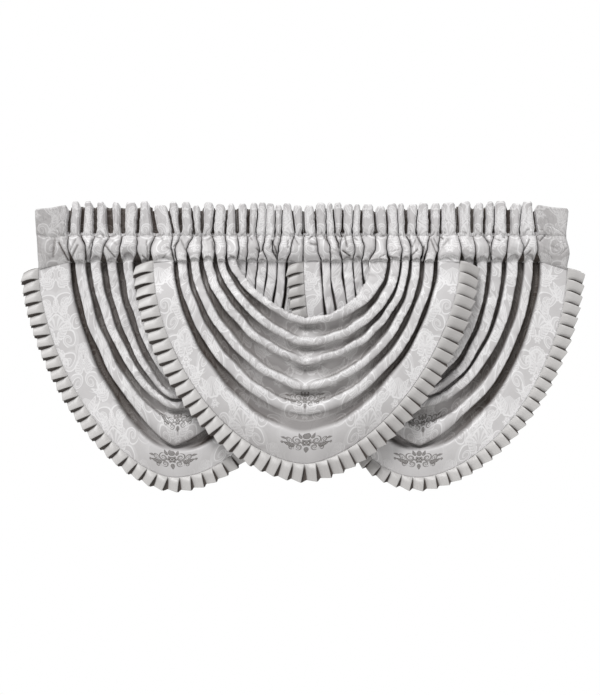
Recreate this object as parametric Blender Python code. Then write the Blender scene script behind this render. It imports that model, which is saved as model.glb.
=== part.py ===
"""Waterfall valance: three swags of damask cloth that hang side by side from one rod.

Each swag is one cut of cloth. Its two ends are gathered into headings, a frilled header
above a rod pocket, and the cloth between them falls forward in five cowl folds and a flat
outer band. A strip of knife-pleated satin is sewn round the outer edge.
Metres, +Z up, front towards -Y, origin on the rod's line in the middle of the valance.
The tables below are in millimetres, and MM turns them into metres.
"""
import math
from collections import namedtuple

import bpy

for old_object in list(bpy.data.objects):
    bpy.data.objects.remove(old_object, do_unlink=True)

MM = 0.001

# Cloth and stitching.
SHEET = 2.0          # thickness of the hanging cloth and of the pleated trim
FIN = 3.0            # two layers sewn together, in the header and under the pocket
SEAM_GAP = 0.5       # between pieces that are sewn edge to edge
END_GAP = 0.2        # from a heading's end to the line that it shares with its neighbour
FOLD_REACH = 13.0    # from the middle of the cloth to the crest or the hollow of a fold

# Heights of the heading, measured from the rod's line.
HEADER_TOP = 136.0
POCKET_TOP = 38.0
POCKET_BOTTOM = -38.0
POCKET_SHOULDER = 17.0
HOLLOW_DROP = 8.0    # how far the header's hollows stand below its crests

# How a swag is divided along its outer seam.
SPANS = 24
PLEATS_IN_A_SPAN = 2
PLEAT_COVER = 0.82   # the part of the pleats' pitch that the flat face takes
PLEAT_HEIGHT = 9.0   # how far a pleat's free edge stands off the strip
SEWN_MARGIN = 6.0    # from the seam to where the pleats open
END_DROOP = math.radians(17.0)
DROOPING_PLEATS = 5

# One gather of a heading, listed from the swag's outer end inward. gap and width are taken
# at the header's top, rise is the top's height over HEADER_TOP, low_gap and low_width are
# taken under the pocket, and below names what the gather runs into there.
Gather = namedtuple("Gather", "gap width rise low_gap low_width below")

# One heading. top and low are where its outer end stands above and under the pocket, inward
# is +1 or -1 along X, and ends are where its pocket starts and stops. slope is how much
# lower its outer end is cut under the pocket, and dip the same at the header's top.
Heading = namedtuple("Heading", "name top low inward ends slope dip gathers")

HEADINGS = {
    "left_outer": Heading("left_outer_heading", -776, -767, 1, (-774, -438), 20, 15, (
        Gather(0, 97, -7, 0, 90, "band"),
        Gather(9, 26, 3, 16, 29, "fold"),
        Gather(10, 26, 2, 3, 9, "tuck"),
        Gather(10, 28, 1, 4, 28, "fold"),
        Gather(15, 27, 0, 20, 26, "fold"),
        Gather(12, 37, 0, 20, 28, "fold"),
        Gather(8, 28, 2, 28, 19, "fold"))),
    "centre_left": Heading("centre_left_heading", -432, -431, 1, (-438, -191), 0, 0, (
        Gather(0, 41, -9, 0, 29, "band"),
        Gather(5, 25, 1, 2, 27, "band"),
        Gather(9, 28, 1, 12, 26, "fold"),
        Gather(6, 21, -9, 12, 23, "fold"),
        Gather(9, 30, -1, 14, 26, "fold"),
        Gather(5, 30, -6, 14, 22, "fold"),
        Gather(6, 21, -4, 9, 22, "fold"))),
    "left_inner": Heading("left_inner_heading", -1, -1, -1, (2, -191), 0, 0, (
        Gather(0, 26, -9, 0, 20, "band"),
        Gather(5, 25, -4, 2, 20, "band"),
        Gather(3, 18, -7, 6, 23, "fold"),
        Gather(3, 23, -3, 3, 26, "fold"),
        Gather(2, 22, -1, 3, 25, "fold"),
        Gather(3, 22, -2, 3, 28, "fold"),
        Gather(8, 26, -3, 4, 17, "fold"))),
    "right_inner": Heading("right_inner_heading", 5, 4, 1, (2, 209.5), 0, 0, (
        Gather(0, 29, -10, 0, 23, "band"),
        Gather(5, 28, -2, 2, 23, "band"),
        Gather(3, 17, -3, 4, 24, "fold"),
        Gather(4, 23, -1, 3, 31, "fold"),
        Gather(5, 27, -6, 4, 27, "fold"),
        Gather(3, 19, -6, 3, 23, "fold"),
        Gather(6, 32, -7, 4, 16, "fold"))),
    "centre_right": Heading("centre_right_heading", 448, 454, -1, (451.5, 209.5), 0, 0, (
        Gather(0, 43, -2, 0, 32, "band"),
        Gather(5, 27, -3, 2, 28, "band"),
        Gather(7, 30, -3, 12, 26, "fold"),
        Gather(3, 28, -6, 14, 23, "fold"),
        Gather(8, 20, -3, 9, 20, "fold"),
        Gather(3, 28, -5, 6, 27, "fold"),
        Gather(5, 29, -12, 10, 39, "fold"))),
    "right_outer": Heading("right_outer_heading", 771, 769, -1, (770, 451.5), 20, 9, (
        Gather(0, 96, -10, 0, 76, "band"),
        Gather(7, 31, 1, 23, 24, "fold"),
        Gather(3, 30, -4, 20, 32, "fold"),
        Gather(11, 33, 4, 14, 30, "fold"),
        Gather(4, 23, 1, 2, 8, "tuck"),
        Gather(7, 28, -2, 3, 29, "fold"),
        Gather(9, 33, 2, 11, 26, "fold"))),
}

# The section of a heading, front face down, hem, back face up and then the inside of the
# pocket. height None is the header's top, and "hem" is the cut edge under the pocket.
# middle is the layer's place in depth and wave how far its crests and hollows reach from
# it. side is how much the layer's thickness narrows a crest, slide how far the gathers
# have moved from their places at the top to those at the hem, and puff how much they
# swell towards each other.
Corner = namedtuple("Corner", "height middle wave side slide puff")

HEADING_OUTSIDE = (
    Corner(None, -6.5, 16.0, 0.0, 0.00, 0.0),
    Corner(POCKET_TOP, -8.5, 8.0, 0.0, 0.25, 0.4),
    Corner(POCKET_SHOULDER, -33.0, 9.0, 0.0, 0.45, 0.7),
    Corner(-POCKET_SHOULDER, -33.0, 9.0, 0.0, 0.75, 0.7),
    Corner("hem", -0.5 * FIN, FOLD_REACH, 0.0, 1.00, 0.0),
    Corner("hem", 0.5 * FIN, FOLD_REACH, FIN, 1.00, 0.0),
    Corner(-POCKET_SHOULDER, 29.0, 8.0, FIN, 0.75, 0.5),
    Corner(POCKET_SHOULDER, 29.0, 8.0, FIN, 0.45, 0.5),
    Corner(POCKET_TOP, -5.5, 8.0, FIN, 0.25, 0.4),
    Corner(None, -3.5, 16.0, FIN, 0.00, 0.0))

HEADING_INSIDE = (
    Corner(POCKET_TOP - 2.6, -7.0, 8.0, 1.5, 0.27, 0.4),
    Corner(POCKET_SHOULDER - 0.6, -31.0, 9.0, SHEET, 0.45, 0.7),
    Corner(-POCKET_SHOULDER + 0.6, -31.0, 9.0, SHEET, 0.75, 0.7),
    Corner("inside hem", 0.0, FOLD_REACH, 1.5, 1.00, 0.0),
    Corner(-POCKET_SHOULDER + 0.6, 27.0, 8.0, 1.0, 0.75, 0.5),
    Corner(POCKET_SHOULDER - 0.6, 27.0, 8.0, 1.0, 0.45, 0.5))
INSIDE_HEM_RISE = 2.6

# The lower and the upper edge of a fold where it crosses the middle of its swag, in
# millimetres under the rod. The first row is the flat band, from its seam upward.
Fold = namedtuple("Fold", "low high")

# One swag. middle is where its folds hang lowest, hang and forward are its depth under the
# pocket and how far it has come forward lower down. The two bows tell how full the curve
# is at the seam and at the free edge on each side, and the shifts push one side's outer
# edge back or forward where it passes a neighbour. trim is the pleated strip's width at
# the ends and at the bottom.
Swag = namedtuple("Swag", "name left right middle hang forward folds left_bow right_bow"
                          " left_shift right_shift trim")

SWAGS = (
    Swag("left", "left_outer", "left_inner", -375.5, 8, 0,
         (Fold(664, 584), Fold(536, 496), Fold(464, 444), Fold(435, 418), Fold(391, 365),
          Fold(299, 278)),
         (1.64, 1.40), (2.00, 1.80), 0, 18, (52, 41)),
    Swag("centre", "centre_left", "centre_right", 9, -20, -24,
         (Fold(621, 525), Fold(481, 449), Fold(409, 386), Fold(333, 313), Fold(281, 258),
          Fold(220, 200)),
         (1.76, 1.40), (1.64, 1.95), 0, 0, (60, 52)),
    Swag("right", "right_inner", "right_outer", 338, 8, 0,
         (Fold(664, 581), Fold(536, 507), Fold(461, 438), Fold(429, 409), Fold(386, 362),
          Fold(296, 275)),
         (1.96, 1.75), (1.76, 1.90), -4, 0, (52, 38)),
)
FORWARD_REACH = 130.0    # the height over which the centre swag comes forward
FREE_EDGE_TURN = 7.0     # how far the free edge is turned back behind the last fold


def fabric(name, colour, roughness):
    """A cloth material of one colour."""
    material = bpy.data.materials.new(name)
    material.use_nodes = True
    shader = material.node_tree.nodes["Principled BSDF"]
    shader.inputs["Base Color"].default_value = (*colour, 1.0)
    shader.inputs["Roughness"].default_value = roughness
    shader.inputs["Metallic"].default_value = 0.0
    return material


DAMASK = ((0.66, 0.65, 0.65), 0.55)
SATIN = ((0.56, 0.55, 0.54), 0.42)


def add_piece(name, points, faces, look):
    """Make one named object from points in millimetres and its faces."""
    mesh = bpy.data.meshes.new(name)
    mesh.from_pydata([(x * MM, y * MM, z * MM) for x, y, z in points], [], faces)
    mesh.materials.append(fabric(name, *look))
    mesh.shade_smooth()
    mesh.set_sharp_from_angle(angle=math.radians(40.0))
    piece = bpy.data.objects.new(name, mesh)
    bpy.context.scene.collection.objects.link(piece)
    return piece


def thicken(piece):
    """Give a sheet its thickness, behind its front face."""
    sheet = piece.modifiers.new("thickness", "SOLIDIFY")
    sheet.thickness = SHEET * MM
    sheet.offset = -1.0


def smooth_step(value):
    """Rise from 0 to 1 with level ends."""
    value = min(max(value, 0.0), 1.0)
    return value * value * (3.0 - 2.0 * value)


def mix(start, end, share):
    return start + (end - start) * share


# The gathered headings.

Station = namedtuple("Station", "top low rise wave low_wave side")


def heading_stations(heading):
    """The front and back corners of the gathers, from the outer end inward.

    wave is -1 on a crest and 1 in a hollow, and side tells which way the layer's own
    thickness moves the corner along X.
    """
    stations = []
    top = heading.top
    low = heading.low
    inward = heading.inward
    gathers = heading.gathers
    for number, gather in enumerate(gathers):
        if number:
            before = gathers[number - 1]
            both_flat = gather.below == "band" and before.below == "band"
            hollow_wave = -0.8 if both_flat else 1.0
            rise = min(gather.rise, before.rise) - HOLLOW_DROP
            for share, side in ((0.25, -1), (0.75, 1)):
                stations.append(Station(top + inward * share * gather.gap,
                                        low + inward * share * gather.low_gap,
                                        rise, 1.0, hollow_wave, side * inward))
            top += inward * gather.gap
            low += inward * gather.low_gap
        low_wave = 1.0 if gather.below == "tuck" else -1.0
        dip = heading.dip if number == 0 else 0.0
        stations.append(Station(top, low, gather.rise - dip, -1.0, low_wave, inward))
        top += inward * gather.width
        low += inward * gather.low_width
        stations.append(Station(top, low, gather.rise, -1.0, low_wave, -inward))
    return stations


def heading_ring(heading, stations, number, hang):
    """The outside and inside corners of the heading at one station."""
    station = stations[number]
    last = len(stations) - 1
    band = heading.gathers[0].low_width
    across = min(abs(station.low - heading.low) / band, 1.0)
    hem = POCKET_BOTTOM - heading.slope * (1.0 - across)
    ring = []
    for corner in HEADING_OUTSIDE + HEADING_INSIDE:
        x = mix(station.top, station.low, corner.slide)
        if 0 < number < last:
            neighbour = stations[number + (1 if station.side * heading.inward < 0 else -1)]
            if station.wave < 0 < neighbour.wave:
                toward = mix(neighbour.top, neighbour.low, corner.slide)
                x = mix(x, toward, corner.puff)
            x += station.side * corner.side
        elif corner.puff:
            shared = heading.ends[0] if number == 0 else heading.ends[1]
            x = shared + (END_GAP if number == 0 else -END_GAP) * heading.inward
        y = corner.middle + corner.wave * station.wave
        if corner.height is None:
            z = HEADER_TOP + station.rise
        elif corner.height == "hem":
            y = hang + corner.middle + corner.wave * station.low_wave
            z = hem
        elif corner.height == "inside hem":
            y = hang + corner.wave * station.low_wave
            z = hem + INSIDE_HEM_RISE
        else:
            z = corner.height
        ring.append((x, y, z))
    return ring


def make_heading(heading, hang):
    """A gathered header above a rod pocket that is open at both ends."""
    stations = heading_stations(heading)
    outside = len(HEADING_OUTSIDE)
    ring_size = outside + len(HEADING_INSIDE)
    points = []
    for number in range(len(stations)):
        points += heading_ring(heading, stations, number, hang)
    faces = []
    for number in range(len(stations) - 1):
        here = number * ring_size
        there = here + ring_size
        for start, size, turn in ((0, outside, 1), (outside, ring_size - outside, -1)):
            for corner in range(size):
                first = start + corner
                second = start + (corner + 1) % size
                face = (here + first, here + second, there + second, there + first)
                faces.append(face[::turn])
    cap = ((0, 1, 8, 9), (1, 10, 8), (1, 2, 11, 10), (2, 3, 12, 11), (3, 4, 13, 12),
           (4, 5, 13), (5, 6, 14, 13), (6, 7, 15, 14), (7, 8, 10, 15))
    far_end = (len(stations) - 1) * ring_size
    for corners in cap:
        faces.append(tuple(corners[::-1]))
        faces.append(tuple(far_end + corner for corner in corners))
    if heading.inward < 0:
        faces = [face[::-1] for face in faces]
    return add_piece(heading.name, points, faces, DAMASK)


# The hanging cloth of a swag.

Rail = namedtuple("Rail", "left right low depth_ends depth_middle across left_end right_end")


def fold_edges(heading):
    """The outer and inner edge of the band and of each fold under a pocket."""
    edges = []
    place = heading.low
    for number, gather in enumerate(heading.gathers):
        place += heading.inward * gather.low_gap
        end = place + heading.inward * gather.low_width
        if gather.below == "band" and edges:
            edges[-1][1] = end
        elif gather.below != "tuck":
            edges.append([place, end])
        place = end
    return edges


def swag_rails(swag):
    """The lines that run round the swag, from the seam inward to the free edge."""
    left_heading = HEADINGS[swag.left]
    right_heading = HEADINGS[swag.right]
    left = fold_edges(left_heading)
    right = fold_edges(right_heading)
    level = POCKET_BOTTOM - SEAM_GAP
    rails = []

    def add(left_x, right_x, low, depth_ends, depth_middle, left_end=level, right_end=level):
        rails.append(Rail(left_x, right_x, low, depth_ends, depth_middle,
                          len(rails), left_end, right_end))

    band = swag.folds[0]
    for share, depth in ((0.0, -0.7), (0.5, -0.9), (1.0, -1.0)):
        add(mix(*left[0], share), mix(*right[0], share), mix(band.low, band.high, share),
            depth, depth, level - left_heading.slope * (1.0 - share),
            level - right_heading.slope * (1.0 - share))
    for number in range(1, len(swag.folds)):
        fold = swag.folds[number]
        below = swag.folds[number - 1]
        for at_ends, at_middle, depth in ((0.25, 0.35, 0.25), (0.75, 0.86, 1.0)):
            add(mix(left[number - 1][1], left[number][0], at_ends),
                mix(right[number - 1][1], right[number][0], at_ends),
                mix(below.high, fold.low, at_middle), 1.0, depth)
        add(left[number][0], right[number][0], fold.low, -1.0, -1.0)
        add(left[number][1], right[number][1], fold.high, -1.0, -0.75)
    last = rails[-1]
    turn = FREE_EDGE_TURN / FOLD_REACH
    add(last.left - 2.0, last.right + 2.0, last.low + 4.0, turn - 1.0, turn - 0.75)
    return rails


def swag_point(swag, rail, rail_count, angle):
    """A point of the cloth's front face: angle runs from -90 degrees to 90 degrees."""
    share = rail.across / (rail_count - 1)
    is_left = angle < 0.0
    bow = mix(*(swag.left_bow if is_left else swag.right_bow), share)
    end = rail.left_end if is_left else rail.right_end
    reach = (rail.left if is_left else rail.right) - swag.middle
    sine = abs(math.sin(angle))
    cosine = max(math.cos(angle), 0.0)
    x = swag.middle + reach * sine ** (2.0 / bow)
    z = end - (rail.low + end) * cosine ** (2.0 / bow)
    depth = mix(rail.depth_middle, rail.depth_ends, sine * sine) * FOLD_REACH
    lean = swag.forward * smooth_step((POCKET_BOTTOM - z) / FORWARD_REACH)
    shift = swag.left_shift if is_left else swag.right_shift
    outer = max(1.0 - rail.across / 7.0, 0.0)
    return x, swag.hang + lean + depth + shift * outer * sine ** 4, z


def even_angles(swag, rails):
    """The angles that divide the outer seam into spans of one length."""
    steps = 1200
    angles = [math.pi * (step / steps - 0.5) for step in range(steps + 1)]
    walk = [swag_point(swag, rails[0], len(rails), angle) for angle in angles]
    lengths = [0.0]
    for before, after in zip(walk, walk[1:]):
        lengths.append(lengths[-1] + math.dist(before, after))
    chosen = []
    step = 0
    for span in range(SPANS + 1):
        wanted = lengths[-1] * span / SPANS
        while step < steps and lengths[step] < wanted:
            step += 1
        chosen.append(angles[step])
    return chosen


def make_cloth(swag, rails, angles):
    """The cowl folds and the flat band, one sheet."""
    points = []
    for rail in rails:
        points += [swag_point(swag, rail, len(rails), angle) for angle in angles]
    columns = len(angles)
    faces = []
    for row in range(len(rails) - 1):
        for column in range(columns - 1):
            corner = row * columns + column
            faces.append((corner, corner + 1, corner + columns + 1, corner + columns))
    cloth = add_piece(swag.name + "_cloth", points, faces, DAMASK)
    thicken(cloth)
    return cloth


# The pleated trim.

def make_trim(swag, rails, angles):
    """A strip of knife pleats along the seam, all folded the same way."""
    seam = [swag_point(swag, rails[0], len(rails), angle) for angle in angles]
    pleat_count = SPANS * PLEATS_IN_A_SPAN
    columns = []
    for span in range(SPANS):
        start = seam[span]
        end = seam[span + 1]
        run = math.hypot(end[0] - start[0], end[2] - start[2])
        along = ((end[0] - start[0]) / run, (end[2] - start[2]) / run)
        outward = (along[1], -along[0])
        for pleat in range(PLEATS_IN_A_SPAN):
            number = span * PLEATS_IN_A_SPAN + pleat
            from_middle = abs(2.0 * number / (pleat_count - 1) - 1.0)
            width = mix(swag.trim[1], swag.trim[0], from_middle ** 2)
            droop = max(1.0 - number / DROOPING_PLEATS, 0.0)
            droop -= max(1.0 - (pleat_count - 1 - number) / DROOPING_PLEATS, 0.0)
            tilt = END_DROOP * droop
            fall = (outward[0] * math.cos(tilt) + along[0] * math.sin(tilt),
                    outward[1] * math.cos(tilt) + along[1] * math.sin(tilt))
            for share, lift in ((0.0, 0.0), (PLEAT_COVER, 1.0)):
                place = (pleat + share) / PLEATS_IN_A_SPAN
                foot = [mix(start[axis], end[axis], place) for axis in range(3)]
                column = []
                for out, stand in ((SEAM_GAP, 0.0), (SEWN_MARGIN, 0.5 * lift), (width, lift)):
                    sewn = out == SEAM_GAP
                    way = outward if sewn else fall
                    column.append((foot[0] + way[0] * out,
                                   foot[1] - stand * PLEAT_HEIGHT,
                                   foot[2] + way[1] * out))
                columns.append(column)
    end = seam[-1]
    columns.append([(end[0] + outward[0] * SEAM_GAP, end[1], end[2] + outward[1] * SEAM_GAP)]
                   + [(end[0] + fall[0] * out, end[1], end[2] + fall[1] * out)
                      for out in (SEWN_MARGIN, swag.trim[0])])
    rows = len(columns[0])
    points = [point for column in columns for point in column]
    faces = []
    for column in range(len(columns) - 1):
        for row in range(rows - 1):
            corner = column * rows + row
            faces.append((corner, corner + 1, corner + rows + 1, corner + rows))
    trim = add_piece(swag.name + "_pleated_trim", points, faces, SATIN)
    thicken(trim)
    return trim


for swag in SWAGS:
    make_heading(HEADINGS[swag.left], swag.hang)
    make_heading(HEADINGS[swag.right], swag.hang)
    swag_lines = swag_rails(swag)
    span_angles = even_angles(swag, swag_lines)
    make_cloth(swag, swag_lines, span_angles)
    make_trim(swag, swag_lines, span_angles)
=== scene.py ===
"""Waterfall valance: three swags of silver-grey damask on one rod, with pleated satin trim."""
import math
from collections import namedtuple

import bpy
import numpy as np
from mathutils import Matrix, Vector


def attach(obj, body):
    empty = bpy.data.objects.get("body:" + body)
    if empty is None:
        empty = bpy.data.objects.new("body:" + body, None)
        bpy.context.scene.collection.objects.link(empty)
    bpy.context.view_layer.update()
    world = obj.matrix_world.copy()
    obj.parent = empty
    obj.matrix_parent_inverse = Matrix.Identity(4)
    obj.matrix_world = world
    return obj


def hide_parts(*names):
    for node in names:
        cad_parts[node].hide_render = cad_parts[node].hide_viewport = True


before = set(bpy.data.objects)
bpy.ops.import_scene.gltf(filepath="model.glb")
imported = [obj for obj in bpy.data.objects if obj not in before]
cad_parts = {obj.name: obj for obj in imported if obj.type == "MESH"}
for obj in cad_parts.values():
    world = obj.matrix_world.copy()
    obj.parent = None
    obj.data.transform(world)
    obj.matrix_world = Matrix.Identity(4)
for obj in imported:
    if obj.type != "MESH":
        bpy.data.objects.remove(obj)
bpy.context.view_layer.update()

bpy.ops.object.select_all(action="DESELECT")

# The photo is a front view of the hung valance, level and square to it. It is 600 pixels
# wide and 695 high, and one pixel is 2.9 mm at the cloth.
PIXEL = 0.0029
PHOTO_COLUMNS = 600
PHOTO_ROWS = 695
ROD_COLUMN = 302.5
ROD_ROW = 249.0
CLOTH_DEPTH = -0.015
CAMERA_DISTANCE = 5.0

camera_place = (PIXEL * (0.5 * PHOTO_COLUMNS - ROD_COLUMN), CLOTH_DEPTH - CAMERA_DISTANCE,
                PIXEL * (ROD_ROW - 0.5 * PHOTO_ROWS))
bpy.ops.object.camera_add(location=camera_place, rotation=(math.radians(90.0), 0.0, 0.0))
camera = bpy.context.object
camera.name = "photo_camera"
camera.data.sensor_fit = "VERTICAL"
camera.data.sensor_height = 36.0
camera.data.lens = camera.data.sensor_height * CAMERA_DISTANCE / (PIXEL * PHOTO_ROWS)
bpy.context.scene.camera = camera

# The damask is a silver-grey jacquard cloth. Its scrolls, leaves and blossoms are woven in
# lighter satin on a duller ground, with a dark ornament low on each swag's flat band and a
# second one on the fold above.
MM = 0.001
DAMASK_GROUND = (0.505, 0.491, 0.493, 1.0)
DAMASK_FIGURE = (0.750, 0.740, 0.744, 1.0)
ORNAMENT_COLOUR = (0.095, 0.086, 0.080, 1.0)
# FOLD_SHADE_COLOUR and SHADED_FIGURE are painted shade, for the ground and the figures.
FOLD_SHADE_COLOUR = (0.036, 0.024, 0.018, 1.0)
SHADED_FIGURE = (0.105, 0.092, 0.084, 1.0)
THREAD_PITCH = 0.9 * MM
THREAD_RELIEF = 0.2 * MM
REPEAT_WIDTH = 0.170
REPEAT_HEIGHT = 0.330
REPEAT_SWAY = 7.0 * MM
REPEAT_RISE = 9.0 * MM
PLAIN_RADIUS = 0.085
PLAIN_EDGE = 0.06
SECOND_ORNAMENT = 0.392
DYE_SCALE = 14.0


class Amount:
    """A number that changes over the cloth: a socket in the tree of a pattern or a finish."""

    def __init__(self, tree, socket):
        self.tree = tree
        self.socket = socket

    def step(self, operation, *values, clamp=False):
        """One step of arithmetic, with other amounts or plain numbers."""
        node = self.tree.nodes.new("ShaderNodeMath")
        node.operation = operation
        node.use_clamp = clamp
        for socket, value in zip(node.inputs, (self, *values)):
            if isinstance(value, Amount):
                self.tree.links.new(value.socket, socket)
            else:
                socket.default_value = value
        return Amount(self.tree, node.outputs["Value"])

    def __add__(self, other):
        return self.step("ADD", other)

    def __sub__(self, other):
        return self.step("SUBTRACT", other)

    def __mul__(self, other):
        return self.step("MULTIPLY", other)

    def __truediv__(self, other):
        return self.step("DIVIDE", other)

    def above(self, level, blur=0.05):
        """A mask of the places where the amount is over a level, with a soft edge."""
        return self.step("MULTIPLY_ADD", 1.0 / blur, 0.5 - level / blur, clamp=True)

    def below(self, level, blur=0.05):
        """A mask of the places where the amount is under a level, with a soft edge."""
        return self.step("MULTIPLY_ADD", -1.0 / blur, 0.5 + level / blur, clamp=True)

    def near(self, level, half_width):
        """A mask of the places where the amount is near a level, as a line."""
        return (self - level).step("ABSOLUTE").below(half_width, half_width)


def pattern_group(name, *inputs):
    """An empty figure of the weave, with its place on the cloth, straight and about its middle."""
    tree = bpy.data.node_groups.new(name, "ShaderNodeTree")
    tree.interface.new_socket("Place", in_out="INPUT", socket_type="NodeSocketVector")
    for socket_name in inputs:
        tree.interface.new_socket(socket_name, in_out="INPUT", socket_type="NodeSocketFloat")
    tree.interface.new_socket("Mask", in_out="OUTPUT", socket_type="NodeSocketFloat")
    tree.nodes.new("NodeGroupOutput")
    start = tree.nodes.new("NodeGroupInput").outputs
    place = tree.nodes.new("ShaderNodeSeparateXYZ")
    tree.links.new(start["Place"], place.inputs["Vector"])
    x = Amount(tree, place.outputs["X"])
    y = Amount(tree, place.outputs["Y"])
    radius = x.step("MULTIPLY_ADD", x, y * y).step("SQRT")
    angle = y.step("ARCTAN2", x)
    return x, y, radius, angle, *[Amount(tree, start[socket_name]) for socket_name in inputs]


def put_out(figure):
    """Make a figure the mask that its group puts out."""
    tree = figure.tree
    tree.links.new(figure.socket, tree.nodes["Group Output"].inputs["Mask"])
    return tree


def weave_scroll():
    """A curl that tightens inward: a light band between two fine outlines."""
    _, _, radius, angle = pattern_group("damask_scroll")
    wound = (radius + 0.001).step("LOGARITHM", math.e)
    turns = (wound / 0.21 - angle) / (2.0 * math.pi)
    off = (turns.step("FRACT") - 0.5).step("ABSOLUTE")
    filling = off.below(0.20, 0.06) * 0.30
    ring = radius.above(0.16) * radius.below(1.0, 0.1)
    return put_out(off.near(0.20, 0.055).step("MAXIMUM", filling) * ring)


def weave_leaf():
    """A pointed leaf from 0 to 1 along X, with slanting veins; Bend curves its tip aside."""
    x, y, _, _, bend = pattern_group("damask_leaf", "Bend")
    aside = (y - bend * (x * x)).step("ABSOLUTE")
    along = x.step("MINIMUM", 1.0).step("MAXIMUM", 0.0)
    swell = (along.step("POWER", 0.75) * math.pi).step("SINE")
    lobes = (along * 14.0).step("SINE").step("ABSOLUTE").step("SQRT")
    from_rim = swell * lobes.step("MULTIPLY_ADD", 0.10, 0.15) - aside
    veins = ((along - aside * 1.1) * 44.0).step("SINE")
    veined = veins.above(0.1, 0.6).step("MULTIPLY_ADD", 0.55, 0.25)
    inside = veined * from_rim.above(0.0, 0.03)
    rim = from_rim.near(0.0, 0.024) * swell.above(0.05, 0.1)
    return put_out(inside.step("MAXIMUM", rim))


def weave_fan():
    """A fan of five lobes that opens along X, with curved veins."""
    _, _, radius, angle = pattern_group("damask_fan")
    turned = angle.step("ABSOLUTE")
    lobes = (angle * 2.6).step("COSINE").step("ABSOLUTE").step("SQRT")
    from_rim = lobes.step("MULTIPLY_ADD", 0.30, 0.68) - radius
    curved = (radius * 3.0).step("SINE").step("MULTIPLY_ADD", 4.0, turned * 20.0)
    veins = curved.step("SINE").above(0.0, 0.7).step("MULTIPLY_ADD", 0.55, 0.2)
    inside = veins * from_rim.above(0.03, 0.04)
    figure = inside.step("MAXIMUM", from_rim.near(0.0, 0.05))
    return put_out(figure * turned.below(1.45, 0.1))


def weave_blossom():
    """A round blossom of six petals about a button, with a fine outline."""
    _, _, radius, angle = pattern_group("damask_blossom")
    from_rim = (angle * 6.0).step("COSINE").step("MULTIPLY_ADD", 0.16, 0.80) - radius
    petals = from_rim.above(0.18) * radius.above(0.34)
    figure = petals.step("MAXIMUM", radius.below(0.20))
    return put_out(figure.step("MAXIMUM", from_rim.near(0.0, 0.07)))


def weave_threads():
    """The crossed threads, which break the gloss; Place is in metres on the cloth."""
    x, y, _, _ = pattern_group("cloth_threads")
    warp = (x * (2.0 * math.pi / THREAD_PITCH)).step("SINE")
    weft = (y * (2.0 * math.pi / THREAD_PITCH)).step("SINE")
    return put_out((warp * weft).step("MULTIPLY_ADD", 0.5, 0.5))


FIGURES = {"scroll": weave_scroll(), "leaf": weave_leaf(), "fan": weave_fan(),
           "blossom": weave_blossom()}
THREADS = weave_threads()

# Where the figures of the repeat lie in half of its width, in millimetres from the repeat's
# upright axis and its foot. The other half mirrors it. turn is in degrees.
Motif = namedtuple("Motif", "kind x y turn size bend")
REPEAT_MOTIFS = (
    Motif("blossom", 0, 14, 0, 13, 0), Motif("leaf", 6, 22, 40, 62, 0.45),
    Motif("scroll", 44, 20, 210, 30, 0), Motif("fan", 0, 44, 90, 46, 0),
    Motif("leaf", 30, 66, 110, 56, -0.50), Motif("scroll", 62, 70, 70, 27, 0),
    Motif("leaf", 8, 96, 28, 66, 0.50), Motif("leaf", 0, 92, 90, 46, 0.0),
    Motif("scroll", 30, 132, -30, 34, 0), Motif("blossom", 85, 112, 0, 12, 0),
    Motif("leaf", 60, 134, 76, 52, 0.35), Motif("fan", 85, 178, -90, 52, 0),
    Motif("leaf", 10, 166, 60, 64, -0.45), Motif("scroll", 18, 206, 150, 29, 0),
    Motif("leaf", 44, 190, 120, 50, 0.40), Motif("scroll", 60, 226, 20, 30, 0),
    Motif("blossom", 0, 236, 0, 15, 0), Motif("leaf", 4, 250, 52, 60, 0.45),
    Motif("leaf", 78, 246, 110, 54, -0.35), Motif("scroll", 40, 288, 260, 33, 0),
    Motif("fan", 0, 272, 90, 44, 0), Motif("leaf", 70, 290, 60, 44, 0.40),
    Motif("scroll", 76, 322, 110, 22, 0), Motif("leaf", 20, 306, 140, 40, 0.35),
)

# The ornament on the band, a plain scrolled cartouche of the same figures, measured in the
# same way from its own middle.
ORNAMENT_MOTIFS = (
    Motif("blossom", 0, 1, 0, 10, 0), Motif("scroll", 18, 7, 200, 12, 0),
    Motif("scroll", 17, -12, 60, 9, 0), Motif("leaf", 0, 12, 90, 17, 0),
    Motif("leaf", 0, -11, -90, 17, 0), Motif("leaf", 6, 13, 52, 15, 0.4),
    Motif("leaf", 25, -5, -12, 28, 0.5), Motif("scroll", 38, 8, 330, 8.5, 0),
    Motif("leaf", 45, 11, 40, 13, -0.4), Motif("blossom", 58, 2, 0, 4, 0),
    Motif("scroll", 36, -14, 300, 7, 0),
)


def place_figures(across, up, motifs):
    """Lay the figures on the cloth and put out one mask of them all."""
    tree = across.tree
    place = tree.nodes.new("ShaderNodeCombineXYZ")
    tree.links.new(across.socket, place.inputs["X"])
    tree.links.new(up.socket, place.inputs["Y"])
    mask = None
    for motif in motifs:
        mapping = tree.nodes.new("ShaderNodeMapping")
        mapping.vector_type = "TEXTURE"
        mapping.inputs["Location"].default_value = (motif.x * MM, motif.y * MM, 0.0)
        mapping.inputs["Rotation"].default_value = (0.0, 0.0, math.radians(motif.turn))
        mapping.inputs["Scale"].default_value = (motif.size * MM, motif.size * MM, 1.0)
        tree.links.new(place.outputs["Vector"], mapping.inputs["Vector"])
        figure = tree.nodes.new("ShaderNodeGroup")
        figure.node_tree = FIGURES[motif.kind]
        tree.links.new(mapping.outputs["Vector"], figure.inputs["Place"])
        if motif.kind == "leaf":
            figure.inputs["Bend"].default_value = motif.bend
        out = Amount(tree, figure.outputs["Mask"])
        mask = out if mask is None else mask.step("MAXIMUM", out)
    return mask


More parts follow.
